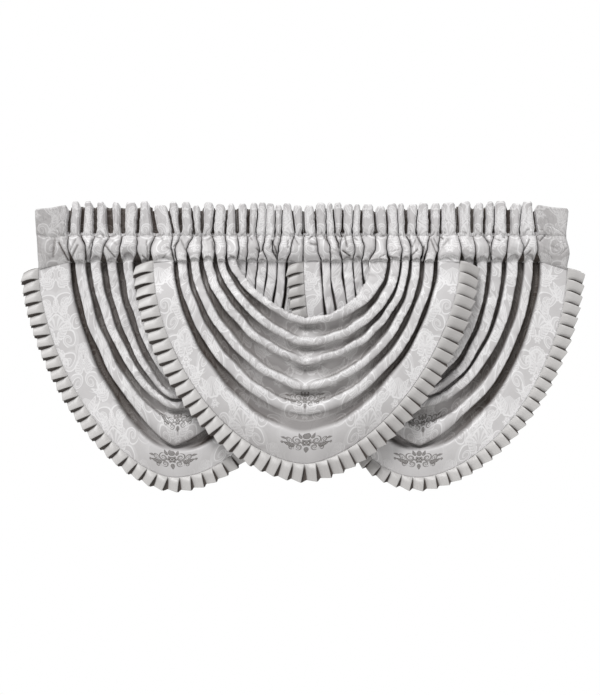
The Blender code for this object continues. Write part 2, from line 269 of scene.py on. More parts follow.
def uneven(tree, place, scale, detail):
    """A soft noise over the cloth."""
    noise = tree.nodes.new("ShaderNodeTexNoise")
    noise.inputs["Scale"].default_value = scale
    noise.inputs["Detail"].default_value = detail
    tree.links.new(place, noise.inputs["Vector"])
    return Amount(tree, noise.outputs["Fac"])


def blend_colours(share, first, second):
    """Mix two colours, each a socket or plain, by an amount from 0 to 1."""
    tree = share.tree
    blend = tree.nodes.new("ShaderNodeMix")
    blend.data_type = "RGBA"
    tree.links.new(share.socket, blend.inputs["Factor"])
    for socket, colour in zip((blend.inputs["A"], blend.inputs["B"]), (first, second)):
        if isinstance(colour, tuple):
            socket.default_value = colour
        else:
            tree.links.new(colour, socket)
    return blend.outputs["Result"]


def start_cloth(name, sheen, relief_strength):
    """A new finish with the cloth's threads: also its tree, flat place and threads' mask."""
    material = bpy.data.materials.new(name)
    material.use_nodes = True
    tree = material.node_tree
    shader = tree.nodes["Principled BSDF"]
    shader.inputs["Sheen Weight"].default_value = sheen
    place = tree.nodes.new("ShaderNodeUVMap")
    place.uv_map = "UVMap"
    threads = tree.nodes.new("ShaderNodeGroup")
    threads.node_tree = THREADS
    tree.links.new(place.outputs["UV"], threads.inputs["Place"])
    relief = tree.nodes.new("ShaderNodeBump")
    relief.inputs["Strength"].default_value = relief_strength
    relief.inputs["Distance"].default_value = THREAD_RELIEF
    tree.links.new(threads.outputs["Mask"], relief.inputs["Height"])
    tree.links.new(relief.outputs["Normal"], shader.inputs["Normal"])
    return material, tree, place.outputs["UV"], Amount(tree, threads.outputs["Mask"])


def finish_cloth_and_paint_shade(colour, dark, roughness):
    """Give a cloth its gloss, and a colour that painted shade sinks into a dark one deep in its folds.
    """
    tree = roughness.tree
    shader = tree.nodes["Principled BSDF"]
    shade = tree.nodes.new("ShaderNodeAttribute")
    shade.attribute_name = "fold_shade"
    shaded = blend_colours(Amount(tree, shade.outputs["Fac"]), colour, dark)
    tree.links.new(shaded, shader.inputs["Base Color"])
    tree.links.new(roughness.socket, shader.inputs["Roughness"])


def weave_damask():
    """The damask: its repeat, the ornaments, the threads and a faint unevenness of dye."""
    material, tree, cloth_place, threads = start_cloth("silver_damask", 0.12, 0.3)
    at = tree.nodes.new("ShaderNodeSeparateXYZ")
    tree.links.new(cloth_place, at.inputs["Vector"])
    across = Amount(tree, at.outputs["X"])
    up = Amount(tree, at.outputs["Y"])
    half_across = across.step("PINGPONG", 0.5 * REPEAT_WIDTH)
    bulge = (half_across * (2.0 * math.pi / REPEAT_WIDTH)).step("SINE")
    lilt = (up * (8.0 * math.pi / REPEAT_HEIGHT)).step("SINE")
    swayed = half_across + bulge * lilt * REPEAT_SWAY
    risen = bulge.step("MULTIPLY_ADD", REPEAT_RISE, up).step("FLOORED_MODULO", REPEAT_HEIGHT)
    from_ornament = across.step("MULTIPLY_ADD", across, up * up).step("SQRT")
    off_ornament = from_ornament.above(PLAIN_RADIUS, PLAIN_EDGE)
    figures = place_figures(swayed, risen, REPEAT_MOTIFS) * off_ornament

    is_second = up.step("GREATER_THAN", 0.5 * SECOND_ORNAMENT)
    from_nearest = is_second.step("MULTIPLY_ADD", -SECOND_ORNAMENT, up)
    cartouche = place_figures(across.step("ABSOLUTE"), from_nearest, ORNAMENT_MOTIFS)
    ornament = cartouche.step("MULTIPLY", 1.8, clamp=True)

    dye = uneven(tree, cloth_place, DYE_SCALE, 3.0)
    tone = dye.step("MULTIPLY_ADD", 0.5, threads * 0.06)
    satin_share = figures.step("MULTIPLY_ADD", 0.85, tone - 0.22, clamp=True)
    colour = blend_colours(satin_share, DAMASK_GROUND, DAMASK_FIGURE)
    colour = blend_colours(ornament, colour, ORNAMENT_COLOUR)
    # The painted shade in the folds, in which the figures stay a little lighter.
    dark = blend_colours(figures, FOLD_SHADE_COLOUR, SHADED_FIGURE)
    finish_cloth_and_paint_shade(colour, dark, figures.step("MULTIPLY_ADD", -0.16, 0.56))
    return material


damask = weave_damask()

# Six gathered headings, two to each swag: one doubled cut of the damask, drawn up on two
# rows of stitching, which make a frilled header above and a rod pocket below.
CLOTH = 0.8 * MM
HEADER_TOP = 136.0
POCKET_TOP = 38.0
POCKET_BOTTOM = -38.0
FOLD_REACH = 13.0


def lay_grid(name, places, fabric_places, shade, material):
    """Lay a flat grid of cloth on its folds.

    places, fabric_places and shade hold, for each point of the grid, where it hangs, where
    it is on the flat cloth, both in metres, and how much painted shade its fold gives it.
    """
    rows, columns = shade.shape
    bpy.ops.mesh.primitive_grid_add(x_subdivisions=columns - 1, y_subdivisions=rows - 1,
                                    size=1.0, location=(0.0, 0.0, 0.0))
    piece = bpy.context.object
    piece.name = name
    mesh = piece.data
    mesh.name = name
    flat = np.empty(len(mesh.vertices) * 3)
    mesh.vertices.foreach_get("co", flat)
    flat = flat.reshape(-1, 3)
    column = np.rint((flat[:, 0] + 0.5) * (columns - 1)).astype(int)
    row = np.rint((flat[:, 1] + 0.5) * (rows - 1)).astype(int)
    mesh.vertices.foreach_set("co", places[row, column].ravel())
    shades = mesh.attributes.new("fold_shade", "FLOAT", "POINT")
    shades.data.foreach_set("value", shade[row, column])
    corners = np.empty(len(mesh.loops), dtype=int)
    mesh.loops.foreach_get("vertex_index", corners)
    mesh.uv_layers[0].data.foreach_set("uv", fabric_places[row, column][corners].ravel())
    mesh.materials.append(material)
    mesh.update()
    bpy.ops.object.shade_smooth()
    return piece


def thicken(piece, thickness):
    """Give a laid cloth its thickness behind its front, and no painted shade on its back."""
    bpy.context.view_layer.objects.active = piece
    layer = piece.modifiers.new("thickness", "SOLIDIFY")
    layer.thickness = thickness
    layer.offset = -1.0
    bpy.ops.object.modifier_apply(modifier=layer.name)
    shades = piece.data.attributes["fold_shade"].data
    values = np.empty(len(shades))
    shades.foreach_get("value", values)
    values[len(values) // 2:] = 0.0
    shades.foreach_set("value", values)
    piece.select_set(False)


def smooth_step(value):
    """Rise from 0 to 1 with level ends."""
    value = np.clip(value, 0.0, 1.0)
    return value * value * (3.0 - 2.0 * value)


def mix(start, end, share):
    """The value at a share of the way from a start to an end."""
    return start + (end - start) * share


def travelled(points, axis=0):
    """How far each point lies from the first one along its row or column."""
    steps = np.linalg.norm(np.diff(points, axis=axis), axis=-1)
    return np.insert(np.cumsum(steps, axis=axis), 0, 0.0, axis=axis)


def wander(seed, waves, first):
    """A smooth line that wavers between about -1 and 1, for the unevenness of hand gathers."""
    draw = np.random.RandomState(seed)
    counts = first + np.arange(waves) * draw.uniform(0.8, 1.6, waves)
    phases = draw.uniform(0.0, 2.0 * math.pi, waves)
    sizes = draw.uniform(0.5, 1.0, waves) / math.sqrt(waves)

    def height(place):
        place = np.asarray(place, dtype=float)
        return sum(size * np.sin(2.0 * math.pi * count * place + phase)
                   for count, phase, size in zip(counts, phases, sizes))
    return height


# A gather is listed from the swag's outer end inward, in millimetres. gap and width are
# taken at the header's top, and rise is that top's height over HEADER_TOP. waist and belly
# shift the gap inward just over the upper stitching and at the middle of the pocket, and
# notch is its width where it shuts at the stitching. low_gap and low_width are taken under
# the pocket, lip is how far above it the puff turns under, and below is what hangs there.
Gather = namedtuple("Gather", "gap width rise waist belly notch low_gap low_width lip below")

# A heading's two ends are lines, given at the header's top, over the stitching, at the
# middle of the pocket and at its foot. Where it meets the next heading it turns back there.
Heading = namedtuple("Heading", "name inward start end end_notch slope dip hang gathers")
LINE_HEIGHTS = (136.0, 46.0, 0.0, -38.0)
LEFT_JOIN = (-436.5, -427, -440, -439)
LEFT_PASS = (-192, -190, -184, -191)
MIDDLE_JOIN = (1.5, 3, 2.5, 1.5)
RIGHT_PASS = (208.8, 213, 211.7, 194)
RIGHT_JOIN = (448, 451, 459.6, 462.5)

HEADINGS = {
    "left_outer": Heading("left_outer_heading", 1, (-776, -773, -769, -767), LEFT_JOIN, 18, 20, 15, 8, (
        Gather(0, 97, -7, 0, 0, 0, 0, 90, 0, "band"),
        Gather(9, 26, 3, -6, -4, 11, 16, 29, 4, "fold"),
        Gather(10, 26, 2, -3, 10, 9, 3, 9, 0, "tuck"),
        Gather(10, 28, 1, 0, -8, 9, 4, 28, 16, "fold"),
        Gather(15, 27, 0, 4, -15, 10, 20, 26, 9, "fold"),
        Gather(12, 37, 0, -1, -7, 11, 20, 28, 26, "fold"),
        Gather(8, 28, 2, -5, -4, 9, 28, 19, 6, "fold"))),
    "centre_left": Heading("centre_left_heading", 1, LEFT_JOIN, LEFT_PASS, 10, 0, 0, -20, (
        Gather(4.5, 41, -9, 0, 0, 18, 8, 58, 14, "band"),
        Gather(5, 25, 1, 12, 9, 10, 2, 6, 0, "tuck"),
        Gather(9, 28, 1, 3, -12, 3, 4, 26, 2, "fold"),
        Gather(6, 21, -9, 5, -13, 12, 12, 23, 9, "fold"),
        Gather(9, 30, -1, 0, 0, 4, 14, 26, 14, "fold"),
        Gather(5, 30, -6, -5, 2, 12, 14, 22, 5, "fold"),
        Gather(6, 21, -4, -4, 0, 5, 9, 24.5, 14, "fold"))),
    "left_inner": Heading("left_inner_heading", -1, MIDDLE_JOIN, LEFT_PASS, 10, 0, 0, 8, (
        Gather(2.5, 26, -9, 0, 0, 17, 2.5, 42, 5, "band"),
        Gather(5, 25, -4, -7, 4, 3, 6, 23, 8, "fold"),
        Gather(3, 18, -7, 2, 11, 6, 1, 1, 0, "tuck"),
        Gather(3, 23, -3, 0, 8, 6, 1, 26, 3, "fold"),
        Gather(2, 22, -1, 2, 9, 2, 3, 25, 6, "fold"),
        Gather(3, 22, -2, 5, -4, 4, 3, 28, 9, "fold"),
        Gather(8, 26, -3, 2, 2, 10, 4, 27, 4, "fold"))),
    "right_inner": Heading("right_inner_heading", 1, MIDDLE_JOIN, RIGHT_PASS, 18, 0, 0, 8, (
        Gather(3.5, 29, -10, 0, 0, 17, 2.5, 48, 5, "band"),
        Gather(5, 28, -2, 3, 8, 3, 4, 24, 6, "fold"),
        Gather(3, 17, -3, 0, 12, 6, 3, 31, 5, "fold"),
        Gather(4, 23, -1, 6, 17, 7, 1, 1, 0, "tuck"),
        Gather(5, 27, -6, 0, -9, 15, 2, 27, 14, "fold"),
        Gather(3, 19, -6, -3, 4, 6, 3, 23, 16, "fold"),
        Gather(6, 32, -7, 0, 7, 10, 4, 18.5, 4, "fold"))),
    "centre_right": Heading("centre_right_heading", -1, RIGHT_JOIN, RIGHT_PASS, 18, 0, 0, -20, (
        Gather(4, 39, -2, 0, 0, 12, 8.5, 62, 16, "band"),
        Gather(5, 27, -3, 2, 9, 10, 12, 26, 4, "fold"),
        Gather(7, 30, -3, 0, 8, 8, 5, 4, 0, "tuck"),
        Gather(3, 28, -6, 5, -13, 8, 5, 23, 8, "fold"),
        Gather(8, 20, -3, 0, -14, 6, 9, 20, 14, "fold"),
        Gather(3, 28, -5, -3, -12, 3, 6, 27, 12, "fold"),
        Gather(5, 29, -12, -4, 0, 5, 10, 50.5, 6, "fold"))),
    "right_outer": Heading("right_outer_heading", -1, (771, 765, 775, 769), RIGHT_JOIN, 12, 20, 9, 8, (
        Gather(0, 96, -10, 0, 0, 0, 0, 76, 0, "band"),
        Gather(7, 31, 1, -7, -10, 12, 23, 24, 20, "fold"),
        Gather(3, 30, -4, 6, -6, 6, 20, 32, 20, "fold"),
        Gather(11, 33, 4, 0, 5, 10, 14, 30, 10, "fold"),
        Gather(4, 23, 1, 3, 11, 10, 2, 8, 0, "tuck"),
        Gather(7, 28, -2, 2, -13, 7, 3, 29, 14, "fold"),
        Gather(9, 36, 2, 0, -8, 8, 11, 26, 10, "fold"))),
}

# The creases that fan out from the stitching over the puffs and ribs, each a soft trough
# between two points across the rod, in millimetres.
Crease = namedtuple("Crease", "x_from z_from x_to z_to depth width")
CREASES = [Crease(*row) for row in (
    (-706, 17, -680, -32, 7, 3.2), (-657, 27, -671, -3, 4, 2.6),
    (-651, 9, -666, -20, 5, 3.0), (-718, 26, -723, -20, 4, 8.0),
    (-712, 55, -703, 38, 3, 3.0), (-694, 38, -683, 49, 5, 2.6),
    (-610, 29, -616, 3, 4, 2.4), (-602, 38, -581, 29, 4, 2.2),
    (-587, 49, -576, 35, 6, 2.4), (-570, 9, -544, -23, 6, 2.6),
    (-550, 23, -538, 12, 3, 2.5), (-463, -20, -445, -35, 5, 2.6),
    (-451, 23, -448, -23, 4, 2.2), (-410, 35, -404, 26, 4, 2.2),
    (-390, 3, -378, -3, 3, 3.0), (-404, -26, -393, -17, 3, 2.2),
    (-358, 23, -373, 6, 4, 2.2), (-352, 26, -338, -3, 4, 2.2),
    (-309, 38, -289, 46, 5, 2.4), (-280, 41, -271, 55, 4, 3.0),
    (-265, 32, -274, 26, 3, 2.4), (-260, 20, -257, -3, 4, 2.2),
    (-242, 46, -236, 38, 5, 2.4), (-210, -20, -193, -26, 4, 2.4),
    (-184, 38, -170, 41, 4, 2.4), (-170, 35, -161, 43, 4, 2.2),
    (-155, 38, -146, 26, 4, 2.2), (-132, 0, -123, -9, 6, 2.4),
    (-114, 9, -117, -6, 6, 2.2), (-88, 23, -74, -12, 6, 2.2),
    (-88, 20, -94, 3, 3, 2.2), (-42, 23, -42, 3, 5, 2.2),
    (-39, 17, -33, 43, 3, 2.2), (-25, 35, -10, 12, 5, 2.2),
    (-42, -32, -25, -36, 4, 2.4), (19, 29, 36, 43, 5, 2.2),
    (25, 14, 39, 12, 4, 4.5), (57, 46, 68, 26, 5, 2.4),
    (97, 35, 103, 6, 5, 2.4), (123, 35, 129, 6, 6, 2.4),
    (117, -6, 138, -20, 7, 2.4), (149, 32, 158, 26, 5, 2.2),
    (228, 38, 242, 35, 3, 2.4), (222, -26, 239, -17, 3, 2.2),
    (248, -23, 259, -25, 5, 2.2), (257, -9, 277, -3, 3, 2.4),
    (297, 41, 312, 49, 5, 2.4), (312, 49, 320, 41, 5, 2.4),
    (309, 41, 315, 6, 4, 2.2), (329, 29, 318, 6, 4, 2.2),
    (332, -3, 315, -20, 5, 3.0), (335, 32, 349, 3, 4, 2.4),
    (352, 6, 346, -26, 6, 2.4), (372, 26, 387, -14, 5, 2.4),
    (381, 29, 393, 3, 4, 2.2), (399, 38, 407, 29, 6, 2.2),
    (402, 41, 416, 46, 4, 2.2), (405, 6, 422, 26, 3, 4.0),
    (416, 78, 419, 49, 6, 3.2), (419, -26, 434, -36, 3, 2.5),
    (460, 49, 474, 46, 4, 2.4), (503, 52, 515, 43, 7, 2.6),
    (503, 52, 494, 43, 5, 2.4), (523, 38, 541, 17, 4, 2.2),
    (547, 17, 541, -3, 3, 2.2), (555, 32, 573, 23, 4, 2.2),
    (573, 49, 587, 32, 5, 2.2), (654, 52, 645, 43, 7, 3.4),
    (657, 26, 642, -3, 6, 2.2), (660, -6, 645, -20, 4, 2.2),
    (674, 46, 692, 52, 7, 3.0), (703, 38, 689, 23, 5, 2.2),
    (718, 67, 753, 46, 3, 2.6), (721, 9, 735, 3, 3, 7.0),
    (764, 0, 750, -14, 3, 3.0),
)]

# The layers of a heading from the hem up the front, over the top and down the back. level
# is 0 at the pocket's foot, 1 at the stitching above it and 2 at the header's top.
FRONT_LEVELS = np.concatenate([np.linspace(0.0, 1.0, 33)[:-1], np.linspace(1.0, 1.3, 12)[:-1],
                               np.linspace(1.3, 1.94, 16)[:-1], np.linspace(1.94, 2.0, 5)])
BACK_LEVELS = np.concatenate([np.linspace(2.0, 1.0, 9), np.linspace(1.0, 0.0, 15)[1:]])
# A place on a rib is 1 at its edge and 2 in mid gap, and the cloth is down in the hollow
# HOLLOW_SPREAD past the edge. Widths, gaps and heights are in millimetres. HEADING_REPEAT
# is how far up the damask the headings are cut, in metres, clear of the ornaments.
HOLLOW_PLACES = (1.06, 1.18, 1.34, 1.7, 2.0)
HOLLOW_SPREAD = 0.4
COVER_SPREAD = 0.18
COLUMN_WIDTH = 1.9
SHUT_GAP = 2.5
NOTCH_HEIGHTS = (POCKET_TOP - 1.5, POCKET_TOP + 3.0, POCKET_TOP + 26.0)
NOTCH_SPREAD = 1.75
GAP_SPREAD = 1.75
GAP_DRIFT = 1.1
DRIFT_LENGTH = 110.0
JOIN_GAP = 0.15
OPENING_HEIGHT = -4.0
HEADING_REPEAT = 1.0

# How far from the rod's line the ribs' crests and hollows stand, in millimetres, with -Y to
# the front: in the header, where it is pinched, along the pocket and behind the rod. Each
# fullness is what a flat panel, a band or a puff swells by over the pocket.
HEADER_CREST = -18.5
HEADER_HOLLOW = 10.0
PINCHED_SHARE = 0.14
PINCHED_CREST = -14.5
PINCHED_HOLLOW = 4.0
STITCHED_CREST = -14.0
POCKET_HOLLOW = -8.0
FRONT_LIMIT = -44.0
PANEL_FULLNESS = -9.0
BAND_FULLNESS = -17.0
PUFF_FULLNESS = -19.0
BACK_OF_CREST = 23.0
BACK_OF_HOLLOW = 33.0
CREST_TO_BACK = 3.2
HOLLOW_TO_BACK = 3.0

# A rounded edge is given by its width on a rib and by how far it falls back there.
HEADER_EDGE = (6.5, 4.0)
POCKET_EDGE = (11.0, 9.0)
TOP_CORNER = 7.0
TOP_FOLD = 2.0
TOP_FOLD_SHARE = 0.04
TOP_HOLLOW = 8.0
TOP_SWAY = 1.6
STITCH_SWAY = 3.0
PUCKER_PITCH = 6.8
PUCKER_REACH = 8.0
PUCKER_BEND = 90.0
FOOT_REACH = 8.0
LUMP_DEPTH = 2.0
LUMP_RISE = (60.0, 85.0)
LUMP_FALL = (210.0, 120.0)
# Painted shade: on the end panels, at the ribs' edges, under the lips over LIP_SPREAD of the pocket,
# and in the creases.
PANEL_SHADE = 0.28
EDGE_SHADE = 0.45
LIP_SHADE = 0.45
LIP_SPREAD = 0.03
CREASE_SHADE = 0.17


def line_at(heights, values):
    """A smooth line through values at the LINE_HEIGHTS."""
    rising = np.array(LINE_HEIGHTS[::-1])
    values = np.array(values[::-1], dtype=float)
    step = np.clip(np.searchsorted(rising, heights) - 1, 0, len(rising) - 2)
    share = smooth_step((heights - rising[step]) / (rising[step + 1] - rising[step]))
    return mix(values[step], values[step + 1], share)


def gap_at(heights, top, notch, low):
    """A gap's width: nearly shut along the pocket, and open from the notch over it upward."""
    open_top = GAP_SPREAD * top
    header = np.interp(heights, (*NOTCH_HEIGHTS, HEADER_TOP),
                       (SHUT_GAP, NOTCH_SPREAD * notch, open_top, open_top))
    opened = smooth_step((OPENING_HEIGHT - heights) / (OPENING_HEIGHT - POCKET_BOTTOM))
    pocket = mix(SHUT_GAP, low, opened)
    return np.where(heights > NOTCH_HEIGHTS[0], header, np.maximum(pocket, min(low, SHUT_GAP)))


def foot_edges(heading):
    """The outer and inner edge of each gather under the pocket."""
    edges = []
    place = heading.start[-1]
    for gather in heading.gathers:
        outer = place + heading.inward * gather.low_gap
        place = outer + heading.inward * gather.low_width
        edges.append((outer, place))
    return edges


def gaps_between(heading):
    """Each gap's middle at the LINE_HEIGHTS, and its width at the top, notch and foot."""
    first = heading.gathers[0]
    gaps = [(heading.start, 2.0 * first.gap, first.notch, 2.0 * first.low_gap)]
    top = heading.start[0] + heading.inward * (first.gap + first.width)
    feet = foot_edges(heading)
    for number, gather in enumerate(heading.gathers[1:], start=1):
        middle = top + 0.5 * heading.inward * gather.gap
        foot = 0.5 * (feet[number - 1][1] + feet[number][0])
        line = (middle, middle + heading.inward * gather.waist,
                middle + heading.inward * gather.belly, foot)
        gaps.append((line, gather.gap, gather.notch, gather.low_gap))
        top += heading.inward * (gather.gap + gather.width)
    gaps.append((heading.end, 2.0 * abs(heading.end[0] - top), heading.end_notch,
                 2.0 * abs(heading.end[-1] - feet[-1][1])))
    return gaps


def heading_columns(heading):
    """Each column's gather, and its place there: 1 at the edge of the rib, 2 in mid gap."""
    columns = []
    for number, gather in enumerate(heading.gathers):
        count = max(int(gather.width / COLUMN_WIDTH), 8)
        places = list(np.linspace(-1.0, 1.0, count + 1)) + list(HOLLOW_PLACES)
        if number > 0:
            places = [-place for place in HOLLOW_PLACES[-2::-1]] + places
        elif gather.gap > 0:
            places = [-place for place in HOLLOW_PLACES[::-1]] + places
        columns += [(number, place) for place in places]
    return columns


def press_creases(places, shade):
    """Press the creases into the front of a heading, with painted shade along them."""
    x = places[:, :, 0]
    z = places[:, :, 2]
    for crease in CREASES:
        run = np.array([crease.x_to - crease.x_from, crease.z_to - crease.z_from], dtype=float)
        length = np.linalg.norm(run)
        run /= length
        along = (x - crease.x_from) * run[0] + (z - crease.z_from) * run[1]
        aside = np.abs((x - crease.x_from) * run[1] - (z - crease.z_from) * run[0])
        beyond = np.maximum(np.maximum(-along, along - length), 0.0)
        trough = np.exp(-((aside / crease.width) ** 2 + (beyond / (1.5 * crease.width)) ** 2))
        places[:, :, 1] += crease.depth * trough
        shade[:] = np.maximum(shade, CREASE_SHADE * crease.depth * trough ** 2)


def pucker_front(places, shade, seed):
    """Pucker the front at the stitching, and leave it a little lumpy elsewhere."""
    x = places[:, :, 0]
    z = places[:, :, 2]
    bend = wander(seed + 7, 5, 3.0)
    pucker = np.sin(2.0 * math.pi * x / PUCKER_PITCH + 3.0 * bend(x / PUCKER_BEND))
    near_stitch = np.exp(-((z - POCKET_TOP) / PUCKER_REACH) ** 2)
    rising = bend(x / LUMP_RISE[0] + z / LUMP_RISE[1])
    lump = rising * wander(seed + 9, 4, 2.0)(z / LUMP_FALL[1] - x / LUMP_FALL[0])
    open_face = shade < 0.5
    keep_foot = smooth_step((z - POCKET_BOTTOM) / FOOT_REACH)
    places[:, :, 1] += open_face * keep_foot * (near_stitch * pucker + LUMP_DEPTH * lump)


def edge_round(from_edge, width, fall):
    """How near a rib's edge a point is, from 0 to 1, and how far the rib falls back there."""
    near = np.clip(1.0 - from_edge / width, 0.0, 1.0)
    return near, fall * (1.0 - np.sqrt(1.0 - near ** 2))


def heading_points(heading, seed):
    """The front and back of one gathered heading, in rows from its hem round to its hem."""
    columns = heading_columns(heading)
    gaps = gaps_between(heading)
    levels = np.concatenate([FRONT_LEVELS, BACK_LEVELS])
    front = len(FRONT_LEVELS)
    is_back = np.arange(len(levels)) >= front
    header = np.clip(levels - 1.0, 0.0, 1.0)
    pocket = np.clip(levels, 0.0, 1.0)
    in_header = levels > 1.0
    pinch = np.clip(1.0 - header / PINCHED_SHARE, 0.0, 1.0) ** 1.5
    shut = np.clip(5.0 * pocket, 0.0, 1.0)
    room = np.where(in_header, 0.0, np.minimum(6.4 * pocket * (1.0 - pocket), 1.0))
    folded_top = TOP_FOLD * smooth_step((header - 1.0 + TOP_FOLD_SHARE) / TOP_FOLD_SHARE)
    heights = np.where(in_header, mix(POCKET_TOP, HEADER_TOP, header),
                       mix(POCKET_BOTTOM, POCKET_TOP, pocket))
    middles = [line_at(heights, gap[0]) for gap in gaps]
    for number in range(1, len(gaps) - 1):
        drift = wander(seed * 31 + number, 4, 0.9)(heights / DRIFT_LENGTH)
        middles[number] += GAP_DRIFT * drift * (heights > POCKET_BOTTOM + 4.0)
    halves = [0.5 * gap_at(heights, *gap[1:]) for gap in gaps]
    if heading.gathers[0].gap == 0:
        halves[0] = np.zeros(len(levels))
    crown = wander(seed, 6, 2.0)
    places = np.empty((len(levels), len(columns), 3))
    shade = np.zeros((len(levels), len(columns)))

    for index, (number, place) in enumerate(columns):
        gather = heading.gathers[number]
        reach = abs(place)
        gap = number + (1 if place > 0.0 else 0)
        outer = middles[number] + heading.inward * halves[number]
        inner = middles[number + 1] - heading.inward * halves[number + 1]
        edge = inner if place > 0.0 else outer
        if reach <= 1.0:
            x = mix(0.5 * (outer + inner), edge, reach)
        else:
            x = mix(edge, middles[gap], reach - 1.0)
            if gap in (0, len(gaps) - 1):
                x = x - JOIN_GAP * (reach - 1.0) * heading.inward * np.sign(place)
        from_edge = np.maximum(1.0 - reach, 0.0) * 0.5 * np.abs(inner - outer)
        header_edge, header_round = edge_round(from_edge, *HEADER_EDGE)
        pocket_edge, pocket_round = edge_round(from_edge, *POCKET_EDGE)
        depth = float(smooth_step((reach - 1.0) / HOLLOW_SPREAD))
        is_panel = number == 0 and heading.dip > 0
        is_band = gather.below == "band"

        arch = gather.lip * (1.0 - 0.8 * min(reach, 1.0) ** 2) + 1.5
        lip = arch / (POCKET_TOP - POCKET_BOTTOM)
        rise = np.clip((pocket - lip) / (1.0 - lip), 0.0, 1.0)
        puff = np.sin(math.pi * rise ** 0.62) ** (0.8 if is_band else mix(0.3, 0.7, rise))
        fullness = PANEL_FULLNESS if is_panel else (BAND_FULLNESS if is_band else PUFF_FULLNESS)
        low_crest = heading.hang + (FOLD_REACH if gather.below == "tuck" else -FOLD_REACH)
        swollen = mix(low_crest, STITCHED_CREST, smooth_step(1.6 * rise)) + fullness * puff
        crest = np.where(in_header, mix(HEADER_CREST, PINCHED_CREST, pinch),
                         np.maximum(swollen, FRONT_LIMIT))
        hollow = np.where(in_header, mix(HEADER_HOLLOW, PINCHED_HOLLOW, pinch),
                          mix(heading.hang + FOLD_REACH, POCKET_HOLLOW, shut))
        rounding = np.where(in_header, header_round, pocket_round * np.clip(6.0 * pocket, 0.0, 1.0))
        face = mix(crest + rounding, hollow, depth) + folded_top
        back = mix(mix(crest + CREST_TO_BACK, hollow + HOLLOW_TO_BACK, depth),
                   mix(BACK_OF_CREST, BACK_OF_HOLLOW, depth), room)

        top = HEADER_TOP + gather.rise - TOP_HOLLOW * depth
        top -= TOP_CORNER * float(header_edge[front - 1]) ** 3
        top += TOP_SWAY * float(crown((number + 0.5 * place) / 7.0))
        outward = (0.5 - 0.5 * min(place, 1.0)) if is_panel else 0.0
        stitching = POCKET_TOP + STITCH_SWAY * float(crown(0.31 * number + 0.1 * place))
        places[:, index, 0] = x
        places[:, index, 1] = np.where(is_back, back, face)
        places[:, index, 2] = np.where(in_header,
                                       mix(stitching, top - heading.dip * outward, header),
                                       mix(POCKET_BOTTOM - heading.slope * outward, stitching, pocket))
        # Painted shade: in the gaps and at the ribs' rounded edges, under the lips of the puffs and
        # over the flat end panels, none on the back.
        under_lip = np.exp(-((pocket - lip) / LIP_SPREAD) ** 2) * (0.0 if is_band else LIP_SHADE)
        edge_share = np.where(in_header, header_edge, 0.6 * pocket_edge)
        cover = float(smooth_step((reach - 1.0) / COVER_SPREAD))
        cover = np.maximum(cover, EDGE_SHADE * edge_share ** 2)
        flat = PANEL_SHADE if is_panel else 0.0
        darkest = np.maximum(np.maximum(cover, under_lip * (1.0 - depth)), flat)
        shade[:, index] = np.where(is_back, 0.0, darkest)

    pucker_front(places[:front], shade[:front], seed)
    press_creases(places[:front], shade[:front])
    return places * MM, shade


for heading_number, heading in enumerate(HEADINGS.values()):
    places, shade = heading_points(heading, 40 + heading_number)
    if heading.inward < 0:
        places = places[:, ::-1]
        shade = shade[:, ::-1]
    width = travelled(places[:, :, :2], axis=1).mean(axis=0)
    fabric_places = np.stack([np.broadcast_to(width + places[0, 0, 0], shade.shape),
                              places[:, :, 2] + HEADING_REPEAT], axis=2)
    sleeve = lay_grid(heading.name + "_cloth", places, fabric_places, shade, damask)
    thicken(sleeve, CLOTH)
    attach(sleeve, "root")
    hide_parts(heading.name)

# Three swag cloths, each one cut of the damask. The five cowl folds and the flat outer
# band fall from one heading to the other, and the free edge is turned back as a hem.
SPANS = 240
FORWARD_REACH = 130.0
FREE_EDGE_TURN = 9.0
TUCK_HEIGHT = 4.0
TUCK_DEPTH = 1.5
COWL_REPEAT = 0.20

# low and high are where the lower and the upper edge of a fold cross the middle of the
# swag, in millimetres under the rod. The first row is the flat band.
Fold = namedtuple("Fold", "low high")

# forward is how far the swag hangs behind its headings, or before them where it is below 0.
# The bows tell how full the curve is at the seam and at the free edge, the shifts push one
# side's outer edge back or forward where it passes a neighbour, and trim is the pleated
# strip's width at its ends and at the bottom. ornament is that figure's place under the rod. The
# first fold's lower edge sinks by tip at tip_place, and soft_middle is how far its hollow
# dies out in the middle. band_shade is how much painted shade the middle of the band gets at
# the seam, and leg_from is where the cowls turn into legs, as a share of the half width.
# passed is how dark the painted shadow of the centre swag makes the lowest hollow, to the
# right of the tip, or to the left of it where passed is below 0. gapes is how much of the
# next pleat a pleat covers on the left and on the right, and the last field is the painted
# shade on a pleat's face there.
Swag = namedtuple("Swag", "name left right middle forward folds left_bow right_bow left_shift"
                          " right_shift trim ornament tip tip_place soft_middle band_shade"
                          " leg_from passed gapes dulls")

SWAGS = (
    Swag("left", "left_outer", "left_inner", -375.5, 0,
         (Fold(664, 584), Fold(536, 496), Fold(464, 444), Fold(435, 418), Fold(391, 365),
          Fold(299, 278)),
         (1.64, 1.40), (2.00, 1.80), 0, 18, (52, 41), 612, 36, -373, 0.0, 0.16, 0.24, 0.26,
         (0.74, 0.93), (0.0, 0.10)),
    Swag("centre", "centre_left", "centre_right", 9, -24,
         (Fold(621, 525), Fold(481, 449), Fold(409, 386), Fold(333, 313), Fold(281, 258),
          Fold(220, 200)),
         (1.76, 1.40), (1.64, 1.95), 0, 0, (60, 52), 560, 0, 9, 0.8, 0.40, 0.40, 0.0,
         (0.76, 0.95), (0.0, 0.22)),
    Swag("right", "right_inner", "right_outer", 338, 0,
         (Fold(664, 581), Fold(536, 507), Fold(461, 438), Fold(429, 409), Fold(386, 362),
          Fold(296, 275)),
         (1.96, 1.75), (1.76, 1.90), -4, 0, (52, 38), 612, 36, 341, 0.0, 0.12, 0.24, -0.12,
         (0.93, 0.92), (0.25, 0.0)),
)
